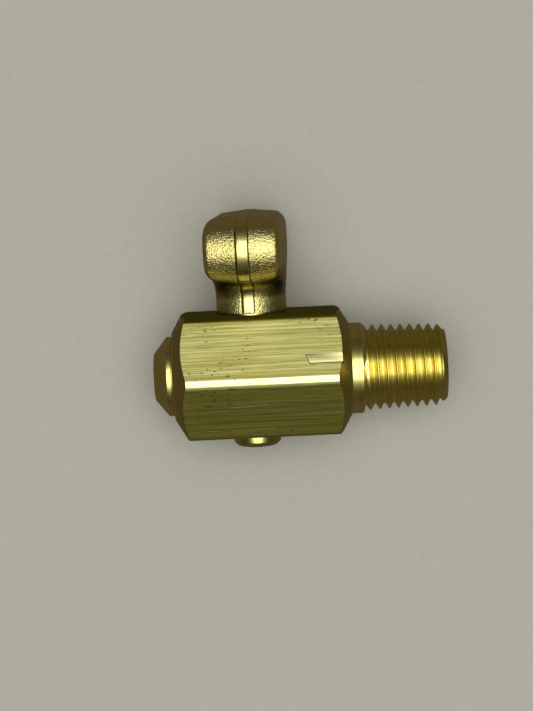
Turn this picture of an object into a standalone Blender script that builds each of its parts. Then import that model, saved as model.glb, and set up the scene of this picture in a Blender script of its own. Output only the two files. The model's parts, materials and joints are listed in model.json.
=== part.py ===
"""Bevel-nose air cock: a hexagonal brass body with a tapered pipe thread, closed by a forged tee key.

The flow axis is X, pointing out of the threaded end. The key turns about Y, and its tee handle is at +Y.
Each piece is modelled about the point where those two axes cross, then placed in the part's frame, whose
origin is the centre of the threaded end. All values are in metres.
"""

import math

import bmesh
import bpy

MM = 0.001

# Clearances
RUN_CLEARANCE = 0.10 * MM  # radial, between the tapered key and its seat
SEAT_GAP = 0.25 * MM  # between pieces that touch on the real cock
CUT_MARGIN = 1.0 * MM  # how far a cutter runs past the surface that it opens

# Hexagonal body, with distances along X from the key's axis
HEX_ACROSS_FLATS = 18.5 * MM
HEX_EDGE_FLAT = 0.95 * MM  # width of the dulled edge between two flats
HEX_EDGE_TO_NOSE = 10.1 * MM
HEX_EDGE_TO_THREAD = 12.5 * MM
CHAMFER_ANGLE = math.radians(30)

# Bevel nose
NOSE_LAND_RADIUS = 6.02 * MM
NOSE_LAND_LENGTH = 0.89 * MM
NOSE_SHOULDER = 0.68 * MM  # step from the land up to the hexagon's chamfer
NOSE_BEVEL_LENGTH = 1.99 * MM
NOSE_TIP_RADIUS = 3.53 * MM

# Tapered pipe thread, 1/4 inch with 18 threads to the inch
THREAD_LAND_RADIUS = 6.87 * MM
THREAD_LAND_LENGTH = 1.708 * MM
THREAD_LAND_STEP = 0.35 * MM  # from the land down to the crests
THREAD_LENGTH = 12.65 * MM
THREAD_TAPER = 1 / 32  # loss of radius for each unit of length
THREAD_PITCH = 25.4 / 18 * MM
THREAD_CREST_FLAT = 0.28 * MM
THREAD_ROOT_FLAT = 0.15 * MM
THREAD_HALF_ANGLE = math.radians(30)
THREAD_END_CHAMFER = 1.15 * MM
THREAD_END_CHAMFER_SLOPE = 0.8
THREAD_LEAD_ANGLE = math.radians(-17)  # turns the thread about X, from +Y towards +Z
GROOVE_LEAD_IN = 0.8  # turns that the groove runs past the end face
GROOVE_RUNOUT = 0.6  # turns over which it rises out of the bar
GROOVE_OVERCUT = 1.12  # height of its cutter, as a multiple of its depth

# Flow passage
PORT_RADIUS = 2.4 * MM
THREAD_BORE_RADIUS = 3.8 * MM
THREAD_BORE_WALL = 4.9 * MM  # from the key's seat to the floor of the wide bore

# Tapered seat and the recess for the spring, with distances along Y from the flow axis
SEAT_RADIUS = 4.0 * MM  # of the key, on the flow axis
SEAT_TAPER = 1 / 12
SEAT_DEPTH = 4.5 * MM
RECESS_SHOULDER = 0.72 * MM  # ring that the washer bears on

# Tee key
NECK_SHOULDER = 0.66 * MM  # from the plug's large end out to the neck
NECK_LENGTH = 4.9 * MM
HANDLE_HEIGHT = 10.0 * MM
HANDLE_CHEEK = 0.15 * MM  # how far each cheek stands out past the neck
HANDLE_LENGTH = 28.0 * MM
HANDLE_OFFSET = -0.3 * MM  # along X: the forged bar sits a little to one side of the key's axis
HANDLE_RIM_WIDTH = 1.7 * MM  # how far in from each cheek the rounding of its rim starts
HANDLE_RIM_DEPTH = 2.4 * MM  # how far down the cheek that rounding reaches
HANDLE_DRAFT = math.radians(5)  # fall of the forging on each side of its parting plane
HANDLE_FILLET = 2.5 * MM
HANDLE_TURN = math.radians(-3)  # how far off square the closed handle is left
TAIL_RADIUS = 1.7 * MM

# Washer, spring and cap on the key's tail
WASHER_THICKNESS = 0.8 * MM
SPRING_WIRE = 0.6 * MM
SPRING_PITCH = 0.82 * MM
CAP_CLEARANCE = 0.9 * MM  # radial, around the cap in the mouth of the recess
CAP_PROUD = 1.72 * MM  # how far it stands out of the body's lower flat
CAP_HEIGHT = 2.3 * MM
CAP_RIM_CHAMFER = 0.55 * MM
CAP_FLOOR = 0.75 * MM

# Facets
ROUND_SEGMENTS = 48
THREAD_SEGMENTS = 32
SMALL_SEGMENTS = 32
WIRE_SEGMENTS = 8
ARC_STEPS = 6
HANDLE_RIM_STEPS = 4
SHARP_ANGLE = math.radians(35)

# Values that follow from those above
HEX_APOTHEM = HEX_ACROSS_FLATS / 2
HEX_EDGE_RADIUS = (HEX_ACROSS_FLATS - HEX_EDGE_FLAT / 2) / math.sqrt(3)
NOSE_SHOULDER_RADIUS = NOSE_LAND_RADIUS + NOSE_SHOULDER
NOSE_LAND_START = HEX_EDGE_TO_NOSE + (HEX_EDGE_RADIUS - NOSE_SHOULDER_RADIUS) * math.tan(CHAMFER_ANGLE)
NOSE_BEVEL_START = NOSE_LAND_START + NOSE_LAND_LENGTH
NOSE_TIP = NOSE_BEVEL_START + NOSE_BEVEL_LENGTH
THREAD_LAND_START = HEX_EDGE_TO_THREAD + (HEX_EDGE_RADIUS - THREAD_LAND_RADIUS) * math.tan(CHAMFER_ANGLE)
THREAD_START = THREAD_LAND_START + THREAD_LAND_LENGTH
THREAD_END = THREAD_START + THREAD_LENGTH
THREAD_CREST_RADIUS = THREAD_LAND_RADIUS - THREAD_LAND_STEP
THREAD_DEPTH = (THREAD_PITCH - THREAD_CREST_FLAT - THREAD_ROOT_FLAT) / 2 / math.tan(THREAD_HALF_ANGLE)
THREAD_BORE_FLOOR = SEAT_RADIUS + THREAD_BORE_WALL
RECESS_RADIUS = SEAT_RADIUS + RUN_CLEARANCE - SEAT_DEPTH * SEAT_TAPER + RECESS_SHOULDER
NECK_BOTTOM = HEX_APOTHEM + SEAT_GAP
PLUG_TOP_RADIUS = SEAT_RADIUS + NECK_BOTTOM * SEAT_TAPER
NECK_RADIUS = PLUG_TOP_RADIUS + NECK_SHOULDER
HANDLE_BOTTOM = NECK_BOTTOM + NECK_LENGTH
HANDLE_TOP = HANDLE_BOTTOM + HANDLE_HEIGHT
HANDLE_WIDTH = 2 * (NECK_RADIUS + HANDLE_CHEEK)
WASHER_RADIUS = RECESS_RADIUS - SEAT_GAP
WASHER_TOP = -SEAT_DEPTH - SEAT_GAP
WASHER_BOTTOM = WASHER_TOP - WASHER_THICKNESS
CAP_RADIUS = RECESS_RADIUS - CAP_CLEARANCE
CAP_BOTTOM = -HEX_APOTHEM - CAP_PROUD
CAP_TOP = CAP_BOTTOM + CAP_HEIGHT
TAIL_END = CAP_BOTTOM + CAP_FLOOR + SEAT_GAP
TAIL_HOLE_RADIUS = TAIL_RADIUS + SEAT_GAP
SPRING_RADIUS = CAP_RADIUS - SPRING_WIRE


def clear_scene():
    for obj in list(bpy.data.objects):
        bpy.data.objects.remove(obj, do_unlink=True)


def material(name, colour, roughness):
    """Metal with the given colour."""
    made = bpy.data.materials.new(name)
    made.use_nodes = True
    shader = made.node_tree.nodes["Principled BSDF"]
    shader.inputs["Base Color"].default_value = (*colour, 1)
    shader.inputs["Metallic"].default_value = 1.0
    shader.inputs["Roughness"].default_value = roughness
    return made


def add_object(name, bm, finish=None):
    """An object made from bm, with its faces pointing out. Without a finish it is a cutter."""
    bmesh.ops.recalc_face_normals(bm, faces=bm.faces)
    mesh = bpy.data.meshes.new(name)
    bm.to_mesh(mesh)
    bm.free()
    obj = bpy.data.objects.new(name, mesh)
    bpy.context.collection.objects.link(obj)
    if finish:
        mesh.materials.append(finish)
        mesh.shade_smooth()
        mesh.set_sharp_from_angle(angle=SHARP_ANGLE)
    else:
        obj.hide_render = True
        obj.display_type = "WIRE"
    return obj


def on_axis(axis, along, radius, angle):
    """The point that far along the axis and that radius from it. Angle 0 is +Y, or +Z for the Y axis."""
    across = radius * math.cos(angle)
    aside = radius * math.sin(angle)
    if axis == "X":
        return (along, across, aside)
    if axis == "Y":
        return (aside, along, across)
    return (aside, across, along)


def turned(axis, outline, segments=ROUND_SEGMENTS):
    """A solid of revolution. The outline is (along, radius) pairs from one end to the other."""
    bm = bmesh.new()
    rings = []
    for along, radius in outline:
        count = segments if radius > 0 else 1
        angles = [math.tau * index / segments for index in range(count)]
        rings.append([bm.verts.new(on_axis(axis, along, radius, angle)) for angle in angles])
    for end in (rings[0], rings[-1]):
        if len(end) > 1:
            bm.faces.new(end)
    for ring, following in zip(rings, rings[1:]):
        for index in range(segments):
            corners = [ring[index % len(ring)], ring[(index + 1) % len(ring)]]
            corners += [following[(index + 1) % len(following)], following[index % len(following)]]
            bm.faces.new(list(dict.fromkeys(corners)))
    return bm


def extruded(axis, outline, low, high):
    """A prism along the axis, whose section is (across, aside) pairs as on_axis places them."""
    bm = bmesh.new()
    polar = [(math.hypot(across, aside), math.atan2(aside, across)) for across, aside in outline]
    face = bm.faces.new([bm.verts.new(on_axis(axis, low, radius, angle)) for radius, angle in polar])
    grown = bmesh.ops.extrude_face_region(bm, geom=[face])
    moved = [item for item in grown["geom"] if isinstance(item, bmesh.types.BMVert)]
    along = on_axis(axis, high - low, 0, 0)
    bmesh.ops.translate(bm, verts=moved, vec=along)
    return bm


def swept(sections, closed_ends=True):
    """A solid through sections of equally many points."""
    bm = bmesh.new()
    rings = [[bm.verts.new(point) for point in section] for section in sections]
    for ring, following in zip(rings, rings[1:]):
        for index in range(len(ring)):
            after = (index + 1) % len(ring)
            bm.faces.new([ring[index], ring[after], following[after], following[index]])
    if closed_ends:
        bm.faces.new(rings[0])
        bm.faces.new(rings[-1])
    bmesh.ops.triangulate(bm, faces=bm.faces)
    return bm


def arc(centre, radius, start, end, steps=ARC_STEPS):
    """Points on a circle in the plane of the outline, from angle start to angle end."""
    turns = [start + (end - start) * step / steps for step in range(steps + 1)]
    return [(centre[0] + radius * math.cos(turn), centre[1] + radius * math.sin(turn)) for turn in turns]


def apply_boolean(obj, operation, other):
    modifier = obj.modifiers.new(f"{operation.lower()} {other.name}", "BOOLEAN")
    modifier.operation = operation
    modifier.solver = "EXACT"
    modifier.object = other


def crest_radius(along):
    return THREAD_CREST_RADIUS - (along - THREAD_START) * THREAD_TAPER


def body_outline():
    """The outline that the bar is turned to, from nose to threaded end. The hexagon cuts its wide part."""
    widest = HEX_EDGE_RADIUS + CUT_MARGIN
    chamfer_rise = CUT_MARGIN * math.tan(CHAMFER_ANGLE)
    end_radius = crest_radius(THREAD_END - THREAD_END_CHAMFER)
    return [
        (-NOSE_TIP, NOSE_TIP_RADIUS),
        (-NOSE_BEVEL_START, NOSE_LAND_RADIUS),
        (-NOSE_LAND_START, NOSE_LAND_RADIUS),
        (-NOSE_LAND_START, NOSE_SHOULDER_RADIUS),
        (-HEX_EDGE_TO_NOSE + chamfer_rise, widest),
        (HEX_EDGE_TO_THREAD - chamfer_rise, widest),
        (THREAD_LAND_START, THREAD_LAND_RADIUS),
        (THREAD_START, THREAD_LAND_RADIUS),
        (THREAD_START + THREAD_LAND_STEP, crest_radius(THREAD_START + THREAD_LAND_STEP)),
        (THREAD_END - THREAD_END_CHAMFER, end_radius),
        (THREAD_END, end_radius - THREAD_END_CHAMFER * THREAD_END_CHAMFER_SLOPE),
    ]


def hexagon():
    """The bar's section, with flats at +Y and -Y and a narrow flat on each edge."""
    points = []
    for corner in range(6):
        middle = math.radians(30 + 60 * corner)
        half = HEX_EDGE_FLAT / 2
        for side in (-half, half):
            across = HEX_EDGE_RADIUS * math.cos(middle) - side * math.sin(middle)
            aside = HEX_EDGE_RADIUS * math.sin(middle) + side * math.cos(middle)
            points.append((across, aside))
    return points


def thread_groove():
    """The groove of the right-hand thread, one swept solid that rises out of the bar at its inner end."""
    clear = THREAD_DEPTH * GROOVE_OVERCUT
    root_half = THREAD_ROOT_FLAT / 2
    open_half = root_half + clear * math.tan(THREAD_HALF_ANGLE)
    steps = round((THREAD_END - THREAD_START + THREAD_PITCH) / THREAD_PITCH * THREAD_SEGMENTS)
    runout_steps = THREAD_SEGMENTS * GROOVE_RUNOUT
    sections = []
    for step in range(steps):
        along = THREAD_END + THREAD_PITCH * (GROOVE_LEAD_IN - step / THREAD_SEGMENTS)
        angle = THREAD_LEAD_ANGLE - math.tau * step / THREAD_SEGMENTS
        rise = max(0.0, 1 - (steps - 1 - step) / runout_steps) * clear
        low = crest_radius(along) - THREAD_DEPTH + rise
        corners = [(-root_half, low), (root_half, low), (open_half, low + clear), (-open_half, low + clear)]
        sections.append([on_axis("X", along + shift, radius, angle) for shift, radius in corners])
    return swept(sections)


def make_body(finish):
    """The hexagonal bar, turned, bored, taper reamed for the key and threaded."""
    body = add_object("body", turned("X", body_outline()), finish)
    bar = extruded("X", hexagon(), -NOSE_TIP - CUT_MARGIN, THREAD_END + CUT_MARGIN)
    apply_boolean(body, "INTERSECT", add_object("cut_hexagon", bar))
    apply_boolean(body, "DIFFERENCE", add_object("cut_thread", thread_groove()))

    drill_point = (THREAD_BORE_RADIUS - PORT_RADIUS) / 2
    flow = [
        (-NOSE_TIP - CUT_MARGIN, PORT_RADIUS),
        (THREAD_BORE_FLOOR, PORT_RADIUS),
        (THREAD_BORE_FLOOR + drill_point, THREAD_BORE_RADIUS),
        (THREAD_END + CUT_MARGIN, THREAD_BORE_RADIUS),
    ]
    apply_boolean(body, "DIFFERENCE", add_object("cut_flow", turned("X", flow, SMALL_SEGMENTS)))

    top = HEX_APOTHEM + CUT_MARGIN
    wall = SEAT_RADIUS + RUN_CLEARANCE
    seat = [(-SEAT_DEPTH - CUT_MARGIN, wall - (SEAT_DEPTH + CUT_MARGIN) * SEAT_TAPER)]
    seat += [(top, wall + top * SEAT_TAPER)]
    apply_boolean(body, "DIFFERENCE", add_object("cut_seat", turned("Y", seat)))
    recess = [(-HEX_APOTHEM - CUT_MARGIN, RECESS_RADIUS), (-SEAT_DEPTH, RECESS_RADIUS)]
    apply_boolean(body, "DIFFERENCE", add_object("cut_recess", turned("Y", recess)))
    return body


def handle_bar():
    """The crossbar along Z: ends round from the side, a crown on the parting plane and barrelled cheeks."""
    middle = HANDLE_TOP - HANDLE_HEIGHT / 2
    reach = HANDLE_LENGTH / 2 - HANDLE_HEIGHT / 2
    flat_half = HANDLE_WIDTH / 2 - HANDLE_RIM_WIDTH
    rim = [math.pi / 2 * step / HANDLE_RIM_STEPS for step in range(HANDLE_RIM_STEPS + 1)]
    halves = [(0.0, 0.0)]
    for turn in rim:
        across = flat_half + HANDLE_RIM_WIDTH * math.sin(turn)
        halves.append((across, HANDLE_RIM_DEPTH * (1 - math.cos(turn))))
    stations = [(-across, inset) for across, inset in reversed(halves[1:])] + halves
    sections = []
    for across, inset in stations:
        radius = HANDLE_HEIGHT / 2 - inset - abs(across) * math.tan(HANDLE_DRAFT)
        outline = arc((middle, reach), radius, 0, math.pi, 2 * ARC_STEPS)
        outline += arc((middle, -reach), radius, math.pi, math.tau, 2 * ARC_STEPS)
        sections.append([(HANDLE_OFFSET + across, along, aside) for along, aside in outline])
    return swept(sections)


def key_outline():
    """The key as turned, from its tail up to inside the handle."""
    fillet = min(HANDLE_FILLET, NECK_LENGTH)
    inside = HANDLE_BOTTOM + HANDLE_HEIGHT / 3
    taper_end = -SEAT_DEPTH
    outline = [(TAIL_END, 0), (TAIL_END, TAIL_RADIUS), (taper_end, TAIL_RADIUS)]
    outline += [(taper_end, SEAT_RADIUS + taper_end * SEAT_TAPER)]
    outline += [(NECK_BOTTOM, PLUG_TOP_RADIUS), (NECK_BOTTOM, NECK_RADIUS)]
    outline += arc((HANDLE_BOTTOM - fillet, NECK_RADIUS + fillet), fillet, -math.pi / 2, 0)
    outline += [(inside, NECK_RADIUS), (inside, 0)]
    return outline


def make_key(finish):
    """The forged tee key: handle, neck, tapered plug and tail in one piece, with its cross port."""
    key = add_object("tee_key", turned("Y", key_outline()), finish)
    cheek = NECK_RADIUS
    slab = [(TAIL_END - CUT_MARGIN, -cheek), (HANDLE_TOP, -cheek)]
    slab += [(HANDLE_TOP, cheek), (TAIL_END - CUT_MARGIN, cheek)]
    cheeks = add_object("cut_cheeks", extruded("Z", slab, -HANDLE_LENGTH, HANDLE_LENGTH))
    apply_boolean(key, "INTERSECT", cheeks)
    apply_boolean(key, "UNION", add_object("join_handle", handle_bar()))
    reach = SEAT_RADIUS + CUT_MARGIN
    port = turned("Z", [(-reach, PORT_RADIUS), (reach, PORT_RADIUS)], SMALL_SEGMENTS)
    apply_boolean(key, "DIFFERENCE", add_object("cut_port", port))
    return key


def make_washer(finish):
    """The thrust washer that bears on the shoulder inside the recess."""
    outline = [(WASHER_BOTTOM, WASHER_RADIUS), (WASHER_TOP, WASHER_RADIUS)]
    washer = add_object("thrust_washer", turned("Y", outline), finish)
    hole = [(WASHER_BOTTOM - CUT_MARGIN, TAIL_HOLE_RADIUS), (WASHER_TOP + CUT_MARGIN, TAIL_HOLE_RADIUS)]
    apply_boolean(washer, "DIFFERENCE", add_object("cut_washer_hole", turned("Y", hole)))
    return washer


def make_spring(finish):
    """The coil spring that draws the key down into its seat."""
    top = WASHER_BOTTOM - SEAT_GAP - SPRING_WIRE / 2
    bottom = CAP_TOP + SEAT_GAP + SPRING_WIRE / 2
    steps = round((top - bottom) / SPRING_PITCH * SMALL_SEGMENTS)
    sections = []
    for step in range(steps + 1):
        turn = math.tau * step / SMALL_SEGMENTS
        height = bottom + (top - bottom) * step / steps
        section = arc((height, SPRING_RADIUS), SPRING_WIRE / 2, 0, math.tau, WIRE_SEGMENTS)[:-1]
        sections.append([on_axis("Y", along, radius, turn) for along, radius in section])
    return add_object("key_spring", swept(sections), finish)


def make_cap(finish):
    """The button that is fixed on the tail and holds the spring, with a blind hole for the tail."""
    outline = [(CAP_BOTTOM, CAP_RADIUS - CAP_RIM_CHAMFER), (CAP_BOTTOM + CAP_RIM_CHAMFER, CAP_RADIUS)]
    outline += [(CAP_TOP, CAP_RADIUS)]
    cap = add_object("retaining_cap", turned("Y", outline), finish)
    hole = [(CAP_BOTTOM + CAP_FLOOR, TAIL_HOLE_RADIUS), (CAP_TOP + CUT_MARGIN, TAIL_HOLE_RADIUS)]
    apply_boolean(cap, "DIFFERENCE", add_object("cut_cap_hole", turned("Y", hole)))
    return cap


def place(pieces, centre):
    """Puts the pieces, and the cutters that shape them, about the point where the axes cross."""
    for obj in pieces:
        obj.parent = centre
        for modifier in obj.modifiers:
            modifier.object.parent = centre


def main():
    clear_scene()
    bar_brass = material("bar_brass", (0.62, 0.50, 0.16), 0.28)
    forged_brass = material("forged_brass", (0.58, 0.46, 0.15), 0.42)
    turned_brass = material("turned_brass", (0.60, 0.47, 0.17), 0.25)
    spring_steel = material("spring_steel", (0.55, 0.55, 0.56), 0.3)

    crossing = bpy.data.objects.new("axes_crossing", None)
    crossing.location = (-THREAD_END, 0, 0)
    bpy.context.collection.objects.link(crossing)
    key_axis = bpy.data.objects.new("key_axis", None)
    key_axis.rotation_euler = (0, HANDLE_TURN, 0)
    key_axis.parent = crossing
    bpy.context.collection.objects.link(key_axis)

    place([make_body(bar_brass)], crossing)
    turning = [make_key(forged_brass), make_washer(turned_brass), make_spring(spring_steel)]
    turning.append(make_cap(turned_brass))
    place(turning, key_axis)


main()
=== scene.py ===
"""The looks of the bevel-nose air cock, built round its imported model.

Everything is in the model's frame: the flow axis is X, out of the threaded end, and the key turns
about Y. The body, key, washer, spring and cap are made again as fine meshes in the places of their
nodes, and together they stay inside the model's box.
"""

import json
import math

import bmesh
import bpy
import numpy as np
from mathutils import Euler, Matrix, Vector, noise


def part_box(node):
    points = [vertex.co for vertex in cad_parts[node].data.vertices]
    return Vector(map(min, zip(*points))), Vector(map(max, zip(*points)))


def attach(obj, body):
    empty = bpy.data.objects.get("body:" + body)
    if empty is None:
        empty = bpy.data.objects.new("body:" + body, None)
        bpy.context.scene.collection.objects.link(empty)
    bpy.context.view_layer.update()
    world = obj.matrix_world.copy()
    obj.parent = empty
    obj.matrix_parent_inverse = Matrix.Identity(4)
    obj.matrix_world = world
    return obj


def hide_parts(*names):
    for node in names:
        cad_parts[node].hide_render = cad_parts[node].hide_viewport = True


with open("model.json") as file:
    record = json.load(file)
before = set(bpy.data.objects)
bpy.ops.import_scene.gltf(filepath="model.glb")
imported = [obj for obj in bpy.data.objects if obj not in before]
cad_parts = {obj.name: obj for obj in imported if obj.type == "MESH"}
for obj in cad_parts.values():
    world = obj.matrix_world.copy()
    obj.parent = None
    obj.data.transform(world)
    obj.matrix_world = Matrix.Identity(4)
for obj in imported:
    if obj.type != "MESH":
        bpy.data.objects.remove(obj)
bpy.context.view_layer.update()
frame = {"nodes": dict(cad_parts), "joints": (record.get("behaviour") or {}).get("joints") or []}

MM = 0.001
BODY_LOW, BODY_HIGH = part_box("body")
CAP_LOW, CAP_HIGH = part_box("retaining_cap")
WASHER_LOW, WASHER_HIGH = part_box("thrust_washer")
SPRING_LOW, SPRING_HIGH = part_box("key_spring")
KEY_LOW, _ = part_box("tee_key")
KEY_AXIS = Vector(frame["joints"][0]["pos_m"])

# Hexagonal body, with distances along X from the key's axis
HEX_APOTHEM = BODY_HIGH.y
HEX_EDGE_RADIUS = BODY_HIGH.z
HEX_EDGE_ROUNDING = 0.05 * MM
HEX_EDGE_FLAT = 0.95 * MM  # width of the narrow flat along each edge; on the two edges level with the flow axis it carries a painted highlight
FLAT_ANGLE = 60.0  # degrees from one flat to the next
HEX_EDGE_TO_NOSE = 10.1 * MM
HEX_EDGE_TO_THREAD = 12.5 * MM
CHAMFER_SLOPE = math.tan(math.radians(30))
BLANK_CORE = 1.0 * MM  # radius at which the end face stops, inside the port
NOSE_TIP = KEY_AXIS.x - BODY_LOW.x
NOSE_TIP_RADIUS = 3.53 * MM
NOSE_BEVEL_LENGTH = 1.99 * MM
NOSE_LAND_RADIUS = 6.02 * MM
NOSE_SHOULDER_RADIUS = 6.70 * MM
UNDERCUT_WIDTH = 0.2 * MM
UNDERCUT_DEPTH = 0.35 * MM
NOSE_LAND_START = HEX_EDGE_TO_NOSE + (HEX_EDGE_RADIUS - NOSE_SHOULDER_RADIUS) * CHAMFER_SLOPE
EDGE_BREAK = 0.12 * MM  # how far from a turned edge its rounding starts

# Tapered pipe thread
THREAD_END = -KEY_AXIS.x
THREAD_LENGTH = 12.65 * MM
THREAD_START = THREAD_END - THREAD_LENGTH
THREAD_LAND_RADIUS = 6.87 * MM
THREAD_LAND_START = HEX_EDGE_TO_THREAD + (HEX_EDGE_RADIUS - THREAD_LAND_RADIUS) * CHAMFER_SLOPE
THREAD_LAND_END = THREAD_START - 0.15 * MM
THREAD_LAND_STEP = 0.35 * MM
THREAD_TAPER = 1 / 32
THREAD_PITCH = 25.4 / 18 * MM
THREAD_CREST_FLAT = 0.14 * MM
THREAD_ROOT_FLAT = 0.24 * MM
THREAD_FLANK_SLOPE = 1 / math.tan(math.radians(30))
THREAD_DEPTH = (THREAD_PITCH - THREAD_CREST_FLAT - THREAD_ROOT_FLAT) / 2 * THREAD_FLANK_SLOPE
THREAD_ROUNDING = 0.05 * MM
THREAD_END_CHAMFER = 1.15 * MM
THREAD_END_CHAMFER_SLOPE = 0.8
GROOVE_LEAD_IN = 0.8  # turns that the groove runs past the end face
GROOVE_RUNOUT = 0.6  # turns over which it rises out of the bar
GROOVE_TURNS = (THREAD_LENGTH + THREAD_PITCH) / THREAD_PITCH
GROOVE_LEAD_ANGLE = math.radians(-17)
GROOVE_START = THREAD_END + THREAD_PITCH * (GROOVE_LEAD_IN - GROOVE_LEAD_ANGLE / math.tau)
GROOVE_OVERCUT = 1.12
GROOVE_WALL_SLOPE = 2.4  # how steeply the groove closes beside the land

# Passage and seat
PORT_RADIUS = 2.4 * MM
BORE_RADIUS = 3.8 * MM
BORE_FLOOR = 8.9 * MM
SEAT_RADIUS = 4.0 * MM
SEAT_TAPER = 1 / 12
SEAT_DEPTH = 4.5 * MM
RUN_CLEARANCE = 0.10 * MM
RECESS_RADIUS = SEAT_RADIUS + RUN_CLEARANCE - SEAT_DEPTH * SEAT_TAPER + 0.72 * MM
RECESS_CHAMFER = 0.15 * MM
MOUTH_CHAMFER = 0.35 * MM
MOUTH_BREAK = 0.02 * MM
DRILL_BREAK = 0.05 * MM
CUT_MARGIN = 1.0 * MM

# Draw mark: a shallow slot that the draw bench tore in the upper front flat
MARK_START = 7.6 * MM
MARK_TOP = 1.25 * MM  # down the flat from its middle line
MARK_BOTTOM = 2.8 * MM
MARK_DEPTH = 0.28 * MM
MARK_END_SLANT = 0.25
MARK_OPENING = 0.4 * MM  # how far its cutter reaches above the flat
MARK_LEAN = 0.08 * MM  # of its lower wall, up to that height
TEAR = MARK_BOTTOM - 0.22 * MM  # where the floor drops into a narrow tear
TEAR_LEAN = 0.05 * MM

# Tee key, along Y from the flow axis
KEY_TURN = math.radians(-3)
NECK_BOTTOM = HEX_APOTHEM + 0.25 * MM
NECK_RADIUS = SEAT_RADIUS + NECK_BOTTOM * SEAT_TAPER + 0.66 * MM
NECK_LENGTH = 4.9 * MM
HANDLE_HEIGHT = 10.0 * MM
HANDLE_LENGTH = 27.88 * MM
HANDLE_BOTTOM = NECK_BOTTOM + NECK_LENGTH
HANDLE_MIDDLE = HANDLE_BOTTOM + HANDLE_HEIGHT / 2
HANDLE_HALF_WIDTH = NECK_RADIUS + 0.15 * MM
HANDLE_OFFSET = -0.3 * MM
HANDLE_DRAFT = math.tan(math.radians(5))
HANDLE_FILLET = 2.5 * MM
HANDLE_RIM_WIDTH = 1.7 * MM
HANDLE_RIM_DEPTH = 2.4 * MM
TIP_RIM_WIDTH_LOSS = 0.5  # how much tighter the rims are round the tee's two ends
TIP_RIM_DEPTH_LOSS = 0.55
TIP_REACH = 1.3  # how soon round an end they are at their tightest
DRAFT_PULL = 1.15  # how much the draft also lowers the handle's outline
NECK_CUT = 0.02 * MM  # above the neck's lower end, where the faceted key is cut off
NECK_BLEND = 0.9 * MM
FLARE_SOFTENING = 0.75
CHEEK_EASE = 0.6 * MM
NECK_TOP_EASE = 0.4 * MM
NECK_BOTTOM_EASE = 0.08 * MM
FLASH_LEFT = -1.05 * MM  # the trimmed flash band, across the handle
FLASH_RIGHT = 0.80 * MM
FLASH_RISE = 0.04 * MM
FLASH_STEP = 0.1 * MM  # width over which the handle rises to the band
FLASH_SKIN_EDGE = 0.15 * MM  # width over which the hammered skin fades into it
FLASH_SMOOTHING = 0.8  # of the hammered skin, in the band
FLASH_GROOVES = (
    (FLASH_LEFT, 0.14 * MM, 0.10 * MM),
    (FLASH_RIGHT, 0.08 * MM, 0.07 * MM),
)  # place, width and depth of the line on each side of the band
SWELL_SIZE = 1.6 * MM
SWELL_HEIGHT = 0.022 * MM
DENT_SIZE = 0.55 * MM
DENT_HEIGHT = 0.007 * MM
SKIN_SINK = 0.03 * MM
KEY_TRIM = 0.01 * MM  # keeps the hammered skin inside the model's box
WORN_FROM = HANDLE_MIDDLE + 2.5 * MM  # above this the two lines fade out
WORN_OVER = 1.2 * MM
MOST_WORN = 0.75
PLUG_IN_NECK = 2.0 * MM
TAIL_RADIUS = 1.7 * MM
TAIL_CORE = 0.4 * MM  # radius at which the tail's end face closes
TAIL_END = CAP_LOW.y + 1.0 * MM

# Small parts
SPRING_WIRE = 0.6 * MM
SPRING_PITCH = 0.82 * MM
TAIL_HOLE_RADIUS = TAIL_RADIUS + 0.25 * MM
CAP_CORE = 0.3 * MM  # radius at which the cap's faces close
CAP_FLOOR = 0.75 * MM
CAP_CHAMFER = 0.55 * MM
WASHER_BREAK = 0.08 * MM

# Fineness of the meshes
FINE_SEGMENTS = 144
SHARP_ANGLE = math.radians(32)
MOST_SETBACK = 0.45  # of a side that one corner's curve may take
MERGE_DISTANCE = 0.0005 * MM
NEARLY = 0.999  # of a limit that isn't to be reached
EVEN_COLUMNS = np.linspace(1.1, 25.5, 12)  # degrees from the middle of a flat
COLUMNS_BESIDE_EDGE = (26.6, 26.85, 27.1, 27.25, 27.39, 27.55, 27.7, 27.95, 28.3, 29.1)
ROOT_ROW = 0.4  # of the way from the middle of the groove to the corner of its root
ROWS_BESIDE_ROOT = (0.0, 0.035 * MM, 0.08 * MM)  # from the corner of the thread's root
ROWS_BESIDE_CREST = (-0.07 * MM, -0.03 * MM, 0.0, 0.03 * MM, 0.07 * MM)
FLANK_ROW = 0.32 * MM  # from the middle of the groove
REMESH_SIZE = 0.24 * MM
REFINED_REACHES = (0.55 * MM, 0.3 * MM)  # from the flash's two lines
PROJECT_STEPS = 6
PROJECT_PROBE = 0.02 * MM
PROJECT_MOST = 0.3 * MM
LEAST_SLOPE_SQUARED = 0.05
SPRING_STEPS = 64  # a turn
WIRE_SIDES = 16
DRAWN, TURNED = 0, 1  # the body's two finishes, by index

# Camera: the part is turned by these angles about X, Y and Z, then seen from straight above
CAMERA_TURNS = (math.radians(7.06), math.radians(-0.33), math.radians(2.69))
CAMERA_AIM = Vector((1.79, 2.59, 0)) * MM  # of the turned part, from the point where the axes cross
CAMERA_HEIGHT = 273.1 * MM
CAMERA_LENS = 91.14
SENSOR = 36.0

# Light and floor
LIGHT_TILT = math.radians(-4)  # of the main light off the camera's axis, down in its view
LIGHT_FALL = (
    (math.radians(62), (0.055, 0.053, 0.040)),
    (math.radians(48), (0.10, 0.10, 0.085)),
    (math.radians(37), (0.27, 0.28, 0.25)),
    (math.radians(29), (0.66, 0.68, 0.63)),
    (math.radians(22), (1.90, 1.93, 1.83)),
    (0.0, (1.98, 2.0, 1.9)),
)  # colour of the light at each angle from its axis
HORIZON_BLEND = 0.08
UNDER_HORIZON = (0.085, 0.070, 0.045)
BEHIND = (0.43, 0.42, 0.37)  # what the camera sees past the floor
FLOOR_SIZE = 6.0
FLOOR_GAP = 0.1 * MM

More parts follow.
